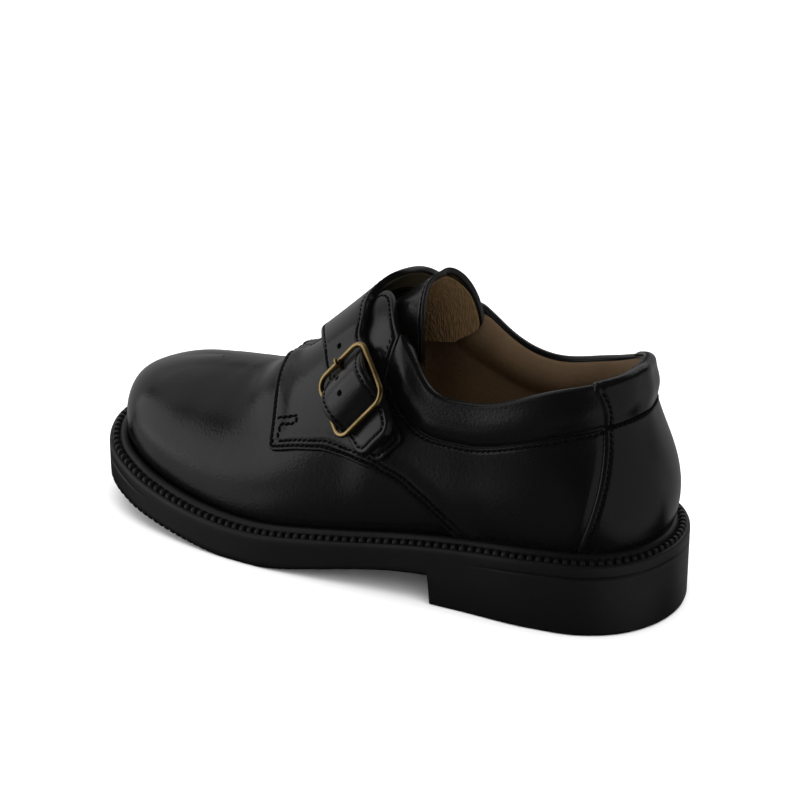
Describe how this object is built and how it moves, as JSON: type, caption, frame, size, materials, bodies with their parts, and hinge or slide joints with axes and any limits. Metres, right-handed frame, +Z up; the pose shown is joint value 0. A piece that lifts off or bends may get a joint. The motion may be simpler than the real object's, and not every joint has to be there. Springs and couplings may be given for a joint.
{
  "type": "monk strap shoe",
  "caption": "Child's single monk strap leather shoe for the left foot: padded collar, strap through a wire buckle, ribbed welt and low moulded heel.",
  "frame": {"origin": "middle of the sole's outline, on the floor plane under heel and forefoot", "axes": "+X towards the toe, +Y towards the wearer's left, which is the shoe's outer side, +Z up"},
  "size_m": [0.211, 0.0764, 0.1004],
  "materials": {
    "outsole": "moulded satin",
    "welt": "moulded, ribbed",
    "insole": "undyed lining leather",
    "upper": "smooth, polished",
    "quarter_lateral": "smooth, polished",
    "quarter_medial": "smooth, polished",
    "heel_counter": "smooth, polished",
    "tongue": "smooth, soft",
    "strap": "smooth, polished",
    "buckle_tab": "smooth",
    "buckle_frame": "aged, satin",
    "buckle_prong": "aged, satin"
  },
  "bodies": {
    "root": {"outsole": "outsole", "welt": "welt", "insole": "insole", "upper": "upper", "quarter_lateral": "quarter_lateral", "quarter_medial": "quarter_medial", "heel_counter": "heel_counter", "tongue": "tongue", "strap": "strap", "buckle_tab": "buckle_tab", "buckle_frame": "buckle_frame", "buckle_prong": "buckle_prong"}
  },
  "joints": []
}
